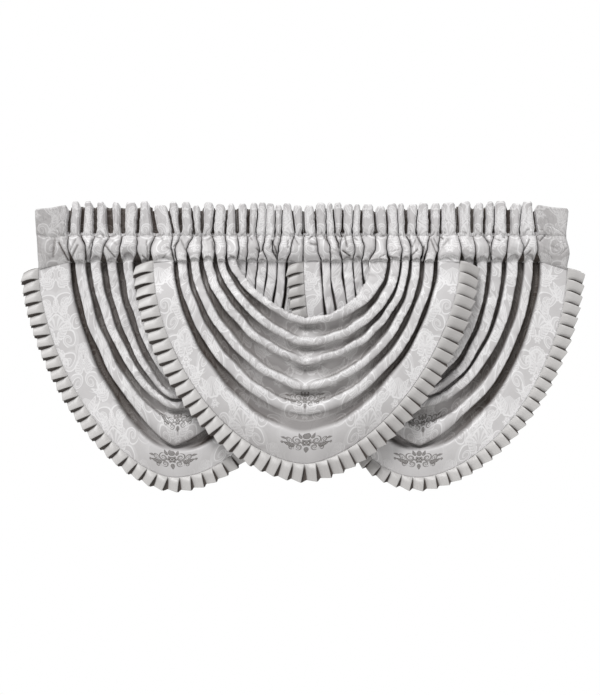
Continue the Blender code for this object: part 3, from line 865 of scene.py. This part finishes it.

# The section of the cloth from one fold's crest to the next, going inward. depth is -1 at a
# crest and 1 in a hollow, and each shade is the painted shade there. The legs fall in deep
# square pleats. On the flanks each fold is a pouch, deepest behind the edge of the one below,
# and in the middle the cowls overhang.
Section = namedtuple("Section", "part leg_share leg_depth leg_shade low_share flank_depth"
                                " flank_shade cowl_depth cowl_shade")
FOLD_SECTION = [Section(*row) for row in (
    ("gap", 0.03, -0.55, 0.35, 0.05, 0.30, 0.68, -0.20, 0.10),
    ("gap", 0.07, 0.40, 0.86, 0.18, 0.80, 0.64, 0.05, 0.24),
    ("gap", 0.14, 0.95, 0.92, 0.38, 0.85, 0.56, 0.35, 0.40),
    ("gap", 0.50, 1.05, 0.92, 0.58, 0.65, 0.50, 0.65, 0.52),
    ("gap", 0.86, 0.95, 0.93, 0.78, 0.35, 0.46, 0.90, 0.57),
    ("gap", 0.94, 0.40, 0.93, 0.93, 0.00, 0.46, 0.85, 0.58),
    ("gap", 0.98, -0.45, 0.45, 0.99, -0.25, 0.40, 0.15, 0.58),
    ("fold", 0.03, -0.85, 0.12, 0.02, -0.45, 0.32, -0.60, 0.52),
    ("fold", 0.12, -1.00, 0.00, 0.12, -0.65, 0.24, -0.95, 0.46),
    ("fold", 0.35, -1.07, 0.00, 0.35, -0.90, 0.14, -1.02, 0.36),
    ("fold", 0.65, -1.07, 0.00, 0.60, -1.00, 0.05, -0.95, 0.20),
    ("fold", 0.88, -1.00, 0.00, 0.82, -0.98, 0.00, -0.75, 0.04),
    ("fold", 0.97, -0.85, 0.12, 1.00, -0.55, 0.00, -0.45, 0.00),
)]

# The band's shares run from its seam inward, and its curve is its depth at each of them.
# Past the fourth line of the first gap the damask lies along the cowls, not upright.
BAND_SHARES = (0.0, 0.08, 0.2, 0.35, 0.5, 0.65, 0.8, 0.92)
BAND_CURVE = (-0.15, -0.25, -0.42, -0.65, -0.85, -0.98, -1.04, -1.02)
LAST_UPRIGHT_LINE = len(BAND_SHARES) + 3

# The way across, from the seam to the free edge, is counted in steps: so many for the
# band, for each of the five gaps and for each of the five folds.
BAND_ACROSS = 2.0
GAP_ACROSS = 3.0
FOLD_ACROSS = 1.0
ALL_ACROSS = BAND_ACROSS + 5.0 * (GAP_ACROSS + FOLD_ACROSS)

# TIP_REACH and SOFT_REACH run to each side of the tip and of the soft middle, the passed
# hollow darkens with painted shadow within PASS_REACH, and the cloth hangs free HANG_REACH
# under the pocket, all in millimetres. SHIFT_REACH is in steps across. FLANK_FROM,
# FLANK_SPREAD and LEG_SPREAD tell where flanks and legs begin, from 0 in the middle to 1 at
# the heading. SOFT_SHADE is the painted shade in the soft middle, and LOW_HOLLOW_SHADE is
# painted shade added to every lowest hollow.
TIP_REACH = 118.0
SOFT_SHADE = 0.50
LOW_HOLLOW_SHADE = 0.07
PASS_REACH = 60.0
HOLLOW_LEAD = 0.05
HANG_REACH = 45.0
FLANK_FROM = 0.05
FLANK_SPREAD = 0.25
LEG_SPREAD = 0.45
SOFT_REACH = 80.0
SOFT_DEPTH = -0.8 * FOLD_REACH
SHIFT_REACH = 7.0

# Waves over the laid cloth: their height in millimetres, how many of them add up, how
# often they come in one step across at most, and their lengths along the seam.
Ripple = namedtuple("Ripple", "height terms rail_waves shortest longest")
WAVER = Ripple(1.0, 9, 0.12, 110.0, 320.0)
FRILL = Ripple(0.7, 8, 0.05, 24.0, 52.0)
PUCKER = Ripple(0.7, 7, 0.12, 50.0, 110.0)
SWELL = Ripple(1.1, 6, 0.10, 130.0, 330.0)

Rail = namedtuple("Rail", "left right low leg_depth flank_depth cowl_depth across left_end"
                          " right_end leg_shade flank_shade cowl_shade tip hollow")


def fold_edges(heading):
    """The outer and inner edge of the band and of each fold under a pocket."""
    pairs = zip(heading.gathers, foot_edges(heading))
    return [edges for gather, edges in pairs if gather.below != "tuck"]


def swag_rails(swag):
    """The lines that run round the swag, from the seam inward to the free edge."""
    left_heading = HEADINGS[swag.left]
    right_heading = HEADINGS[swag.right]
    edges = [((left[0], right[0], fold.low), (left[1], right[1], fold.high)) for left, right, fold
             in zip(fold_edges(left_heading), fold_edges(right_heading), swag.folds)]
    rails = []

    def between(outer, inner, leg_share, low_share):
        return (mix(outer[0], inner[0], leg_share), mix(outer[1], inner[1], leg_share),
                mix(outer[2], inner[2], low_share))

    def add(place, depths, across, shades=(0.0, 0.0, 0.0), slope=0.0, tip=0.0, hollow=0.0):
        rails.append(Rail(*place, *depths, across, POCKET_BOTTOM - left_heading.slope * slope,
                          POCKET_BOTTOM - right_heading.slope * slope, *shades, tip, hollow))

    for share, cowl_depth in zip(BAND_SHARES, BAND_CURVE):
        leg_depth = -0.7 - 0.35 * math.sin(0.5 * math.pi * share)
        # The band's painted shade, heaviest at the seam.
        shade = swag.band_shade * (1.0 - share)
        add(between(*edges[0], share, share), (leg_depth, cowl_depth, cowl_depth),
            BAND_ACROSS * share, (0.0, shade, 0.6 * shade), slope=1.0 - share)
    for number in range(1, len(edges)):
        start = BAND_ACROSS + (GAP_ACROSS + FOLD_ACROSS) * (number - 1)
        is_lowest = number == 1
        for row in FOLD_SECTION:
            if row.part == "gap":
                ends = (edges[number - 1][1], edges[number][0])
                across = start + GAP_ACROSS * row.leg_share
                tip = row.low_share
            else:
                ends = edges[number]
                across = start + GAP_ACROSS + FOLD_ACROSS * row.leg_share
                tip = 1.0 - row.low_share
            add(between(*ends, row.leg_share, row.low_share),
                (row.leg_depth, row.flank_depth, row.cowl_depth), across,
                (row.leg_shade, row.flank_shade, row.cowl_shade),
                tip=tip * is_lowest, hollow=float(is_lowest and row.part == "gap"))
    end = rails[-1]
    for turned, back in ((1.0, 0.35), (0.0, 0.75)):
        turn = back * FREE_EDGE_TURN / FOLD_REACH
        add((end.left + turned, end.right - turned, end.low - turned),
            (end.leg_depth + turn, end.flank_depth + turn, end.cowl_depth + turn), end.across)
    return rails


def swag_points(swag, rails, angles):
    """Where the cloth hangs: one row for each rail, one column for each angle."""
    table = Rail(*(column[:, None] for column in np.array(rails, dtype=float).T))
    angle = angles[None, :]
    is_left = angle < 0.0
    share = table.across / ALL_ACROSS
    bow = np.where(is_left, mix(*swag.left_bow, share), mix(*swag.right_bow, share))
    end = np.where(is_left, table.left_end, table.right_end)
    reach = np.where(is_left, table.left, table.right) - swag.middle
    sine = np.abs(np.sin(angle))
    cosine = np.maximum(np.cos(angle), 0.0)
    x = swag.middle + reach * sine ** (2.0 / bow)
    z = end - (table.low + end) * cosine ** (2.0 / bow)

    flank = smooth_step((sine - FLANK_FROM) / FLANK_SPREAD)
    leg = smooth_step((sine - swag.leg_from + HOLLOW_LEAD * table.hollow) / LEG_SPREAD)
    depth = mix(mix(table.cowl_depth, table.flank_depth, flank), table.leg_depth, leg) * FOLD_REACH
    shade = mix(mix(table.cowl_shade, table.flank_shade, flank), table.leg_shade, leg)
    middle = smooth_step(1.4 - np.abs(x - swag.middle) / SOFT_REACH)
    flattened = swag.soft_middle * middle * table.hollow
    depth = mix(depth, SOFT_DEPTH, flattened)
    shade = mix(shade, SOFT_SHADE, flattened)
    # Painted shade in every lowest hollow, and the painted shadow of the centre swag on one side of the
    # tip.
    passed = smooth_step(np.sign(swag.passed) * (x - swag.tip_place) / PASS_REACH)
    shade = shade + (LOW_HOLLOW_SHADE + abs(swag.passed) * passed) * table.hollow

    lean = swag.forward * smooth_step((POCKET_BOTTOM - z) / FORWARD_REACH)
    shift = np.where(is_left, swag.left_shift, swag.right_shift)
    outer = np.maximum(1.0 - table.across / SHIFT_REACH, 0.0)
    z = z - swag.tip * table.tip * np.maximum(1.0 - np.abs(x - swag.tip_place) / TIP_REACH, 0.0)
    y = HEADINGS[swag.left].hang + lean + depth + shift * outer * sine ** 4
    tucked = cosine < 1e-6
    return np.stack([x, y + TUCK_DEPTH * tucked, z + TUCK_HEIGHT * tucked], axis=2), shade


def unsettle(swag, rails, places, shade, seed):
    """Make the laid folds as uneven as hand-dressed ones, but leave the seam as it is."""
    across = np.array([rail.across for rail in rails])[:, None]
    along = travelled(places[0])[None, :]

    def waves(ripple, ripple_seed):
        draw = np.random.RandomState(ripple_seed)
        rail_counts = draw.uniform(-ripple.rail_waves, ripple.rail_waves, ripple.terms)
        seam_counts = 1.0 / draw.uniform(ripple.shortest, ripple.longest, ripple.terms)
        phases = draw.uniform(0.0, 2.0 * math.pi, ripple.terms)
        total = sum(np.sin(2.0 * math.pi * (rail_count * across + seam_count * along) + phase)
                    for rail_count, seam_count, phase in zip(rail_counts, seam_counts, phases))
        return ripple.height * total / math.sqrt(0.5 * ripple.terms)

    waver = waves(WAVER, seed)
    frill = waves(FRILL, seed + 3)
    pucker = waves(PUCKER, seed + 1)
    swell = waves(SWELL, seed + 2)
    hung = smooth_step((POCKET_BOTTOM - places[:, :, 2]) / HANG_REACH)
    free = smooth_step(across / BAND_ACROSS) * hung
    crest = np.clip(1.0 - 3.0 * shade, 0.0, 1.0) * (across > BAND_ACROSS + 0.5)
    radial = places - np.array([swag.middle, 0.0, POCKET_BOTTOM])
    radial[:, :, 1] = 0.0
    radial /= np.maximum(np.linalg.norm(radial, axis=2), 1.0)[:, :, None]
    places += radial * (free * (waver + crest * frill))[:, :, None]
    places[:, :, 1] += free * (crest * pucker + swell)
    return places


def even_angles(swag, rails):
    """The angles that divide the outer seam into spans of one length."""
    fine = np.linspace(-0.5 * math.pi, 0.5 * math.pi, 4001)
    lengths = travelled(swag_points(swag, rails[:1], fine)[0][0])
    return np.interp(np.linspace(0.0, lengths[-1], SPANS + 1), lengths, fine)


def between_rows(table):
    """Add a smooth row halfway between each two rows."""
    padded = np.concatenate([2.0 * table[:1] - table[1:2], table, 2.0 * table[-1:] - table[-2:-1]])
    halves = (9.0 * (padded[1:-2] + padded[2:-1]) - padded[:-3] - padded[3:]) / 16.0
    woven = np.empty((2 * len(table) - 1, *table.shape[1:]))
    woven[0::2] = table
    woven[1::2] = halves
    return woven


for swag in SWAGS:
    rails = swag_rails(swag)
    places, shade = swag_points(swag, rails, even_angles(swag, rails))
    places = unsettle(swag, rails, places, shade, 70 + 5 * len(swag.name))
    places = between_rows(places) * MM
    shade = np.clip(between_rows(shade), 0.0, 1.0)
    seam = places[0][:, [0, 2]]
    along = np.gradient(seam, axis=0)
    along /= np.linalg.norm(along, axis=1)[:, None]
    inward = np.stack([-along[:, 1], along[:, 0]], axis=1)
    from_seam = travelled(places)
    from_middle = travelled(places, axis=1)
    from_middle -= from_middle[:, [SPANS // 2]]
    fabric_places = seam[None] + inward[None] * from_seam[:, :, None]
    fabric_places += np.array([-swag.middle, swag.ornament]) * MM
    is_cowl = np.arange(len(places)) > 2 * LAST_UPRIGHT_LINE
    fabric_places[is_cowl] = np.stack([from_middle, from_seam + COWL_REPEAT], axis=2)[is_cowl]
    cloth = lay_grid(swag.name + "_swag", places, fabric_places, shade, damask)
    thicken(cloth, CLOTH)
    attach(cloth, "root")
    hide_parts(swag.name + "_cloth")

# Three strips of knife-pleated satin, sewn round the outer edge of each swag. All pleats
# are pressed the same way, so they gape on the left, where their free edges hang down.
TRIM_CLOTH = 0.5 * MM
PLEATS = 48
PLEAT_HEIGHT = 10.0
PLEAT_RISE = 0.3
SEAM_GAP = 0.5
END_DROOP = math.radians(17.0)
DROOPING_PLEATS = 5
PLEAT_STEP = 7.0
STEP_LEVEL = 0.6
PLEAT_SWAY = math.radians(1.6)
RIGHT_SIDE_FROM = 0.28
RIGHT_SIDE_SPREAD = 0.30
SATIN_DULL = (0.435, 0.422, 0.414, 1.0)
SATIN_BRIGHT = (0.535, 0.522, 0.514, 1.0)


def weave_satin():
    """The plain satin of the trim, with fine streaks of gloss along its threads."""
    material, tree, cloth_place, _ = start_cloth("pleated_satin", 0.1, 0.25)
    streaks = tree.nodes.new("ShaderNodeMapping")
    streaks.inputs["Scale"].default_value = (260.0, 30.0, 1.0)
    tree.links.new(cloth_place, streaks.inputs["Vector"])
    slubs = uneven(tree, streaks.outputs["Vector"], 1.0, 2.0)
    colour = blend_colours(slubs, SATIN_DULL, SATIN_BRIGHT)
    # Painted shade darkens the satin in the folds of its pleats.
    finish_cloth_and_paint_shade(colour, FOLD_SHADE_COLOUR, slubs.step("MULTIPLY_ADD", -0.12, 0.46))
    return material


satin = weave_satin()

# Across one pleat: its face, from the fold of its neighbour to its own free fold, and the
# under layer that runs back to the next pleat. share is in pleats, lift is its height, and
# shade is the painted shade there, darkest on the under layer and where the face goes under
# its neighbour's fold.
PleatPoint = namedtuple("PleatPoint", "share lift shade")
PLEAT_SECTION = [PleatPoint(*row) for row in (
    (0.00, 0.00, 0.95),
    (0.05, 0.10, 0.55),
    (0.10, 0.26, 0.06),
    (0.35, 0.62, 0.00),
    (0.62, 0.88, 0.00),
    (0.88, 1.00, 0.00),
    (0.97, 1.00, 0.00),
    (1.00, 0.86, 0.20),
    (0.92, 0.60, 0.90),
    (0.70, 0.38, 1.00),
    (0.72, 0.12, 1.00),
    (0.96, 0.00, 0.95),
)]
TRIM_ROWS = np.array((1.0, 0.97, 0.85, 0.68, 0.5, 0.32, 0.16, 0.06, 0.0))


def trim_points(swag, rails):
    """The pleated strip: one row for each place from its free edge to the seam."""
    even = np.linspace(0.0, 1.0, PLEATS + 1)
    fine = even_angles(swag, rails)
    angles = np.interp(even, np.linspace(0.0, 1.0, len(fine)), fine)
    seam = swag_points(swag, rails[:1], angles)[0][0]
    columns = []
    shades = []
    draw = np.random.RandomState(300 + len(swag.name))
    for number in range(PLEATS):
        start = seam[number]
        end = seam[number + 1]
        run = end - start
        run[1] = 0.0
        run /= np.linalg.norm(run)
        outward = np.array([run[2], 0.0, -run[0]])
        from_middle = abs(2.0 * number / (PLEATS - 1) - 1.0)
        width = mix(swag.trim[1], swag.trim[0], from_middle ** 2)
        droop = max(1.0 - number / DROOPING_PLEATS, 0.0)
        droop -= max(1.0 - (PLEATS - 1 - number) / DROOPING_PLEATS, 0.0)
        tilt = END_DROOP * droop + PLEAT_SWAY * draw.uniform(-1.0, 1.0)
        step = PLEAT_STEP * draw.uniform(0.7, 1.3)
        fall = outward * math.cos(tilt) + run * math.sin(tilt)
        # How much of the next pleat it covers, and the painted shade on its face, change from the left
        # side to the right.
        side = smooth_step((number / PLEATS - RIGHT_SIDE_FROM) / RIGHT_SIDE_SPREAD)
        gape = mix(*swag.gapes, side)
        painted_face_shade = mix(*swag.dulls, side)
        for point in PLEAT_SECTION:
            column = []
            for out in TRIM_ROWS:
                cover = 1.0 if point is PLEAT_SECTION[-1] else mix(1.0, gape, out)
                foot = mix(start, end, point.share * cover)
                length = mix(SEAM_GAP, width + step * (point.share - STEP_LEVEL), out)
                lift = point.lift * PLEAT_HEIGHT * min(out / PLEAT_RISE, 1.0)
                column.append(foot + mix(outward, fall, out) * length - (0.0, lift, 0.0))
            columns.append(column)
            shades.append(max(point.shade, painted_face_shade))
    columns.append([end + mix(outward, fall, out) * mix(SEAM_GAP, swag.trim[0], out)
                    for out in TRIM_ROWS])
    shades.append(0.0)
    risen = np.minimum(TRIM_ROWS / PLEAT_RISE, 1.0)
    return np.array(columns).transpose(1, 0, 2), np.array(shades)[None, :] * risen[:, None]


for swag in SWAGS:
    places, shade = trim_points(swag, swag_rails(swag))
    places = places * MM
    steps = np.linalg.norm(np.diff(places, axis=1), axis=2)
    length = np.insert(np.cumsum(steps.max(axis=0)), 0, 0.0)
    out = TRIM_ROWS[:, None] * swag.trim[0] * MM
    fabric_places = np.stack(np.broadcast_arrays(length[None, :], out), axis=2)
    trim = lay_grid(swag.name + "_pleats", places, fabric_places, shade, satin)
    thicken(trim, TRIM_CLOTH)
    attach(trim, "root")
    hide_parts(swag.name + "_pleated_trim")

# A pale floor below the hung valance, and plain studio light: a large soft lamp above and
# a little left of the camera, a weak one behind, and an even white surround.
FLOOR_HEIGHT = -1.36
FLOOR_WIDTH = 6.0
FLOOR_DEPTH = 4.4
FLOOR_MIDDLE = -2.0
FLOOR_COLOUR = (0.8, 0.8, 0.79, 1.0)
FLOOR_ROUGHNESS = 0.7
SURROUND_LIGHT = 0.42

bpy.ops.mesh.primitive_plane_add(size=1.0, location=(0.0, 0.0, 0.0))
floor = bpy.context.object
floor.name = "floor"
for corner in floor.data.vertices:
    corner.co = Vector((corner.co.x * FLOOR_WIDTH, corner.co.y * FLOOR_DEPTH + FLOOR_MIDDLE,
                        FLOOR_HEIGHT))
floor_paint = bpy.data.materials.new("pale_floor")
floor_paint.use_nodes = True
floor_shader = floor_paint.node_tree.nodes["Principled BSDF"]
floor_shader.inputs["Base Color"].default_value = FLOOR_COLOUR
floor_shader.inputs["Roughness"].default_value = FLOOR_ROUGHNESS
floor.data.materials.append(floor_paint)
floor.select_set(False)


def add_sun(name, toward, strength, spread):
    """A soft distant lamp that shines along a direction."""
    turn = Vector(toward).to_track_quat("-Z", "Y").to_euler()
    bpy.ops.object.light_add(type="SUN", location=(0.0, -3.0, 3.0), rotation=turn)
    lamp = bpy.context.object
    lamp.name = name
    lamp.data.energy = strength
    lamp.data.angle = math.radians(spread)
    lamp.select_set(False)


add_sun("key_lamp", (0.25, 0.62, -0.75), 2.7, 22.0)
add_sun("back_lamp", (-0.3, -0.8, -0.5), 1.2, 30.0)

surround = bpy.data.worlds.new("white_studio")
bpy.context.scene.world = surround
surround.use_nodes = True
surround_nodes = surround.node_tree.nodes
surround_links = surround.node_tree.links
background = surround_nodes["Background"]
seen = surround_nodes.new("ShaderNodeLightPath")
level = surround_nodes.new("ShaderNodeMix")
level.inputs["A"].default_value = SURROUND_LIGHT
level.inputs["B"].default_value = 1.0
background.inputs["Color"].default_value = (1.0, 1.0, 1.0, 1.0)
surround_links.new(seen.outputs["Is Camera Ray"], level.inputs["Factor"])
surround_links.new(level.outputs["Result"], background.inputs["Strength"])
bpy.context.scene.view_settings.view_transform = "Standard"
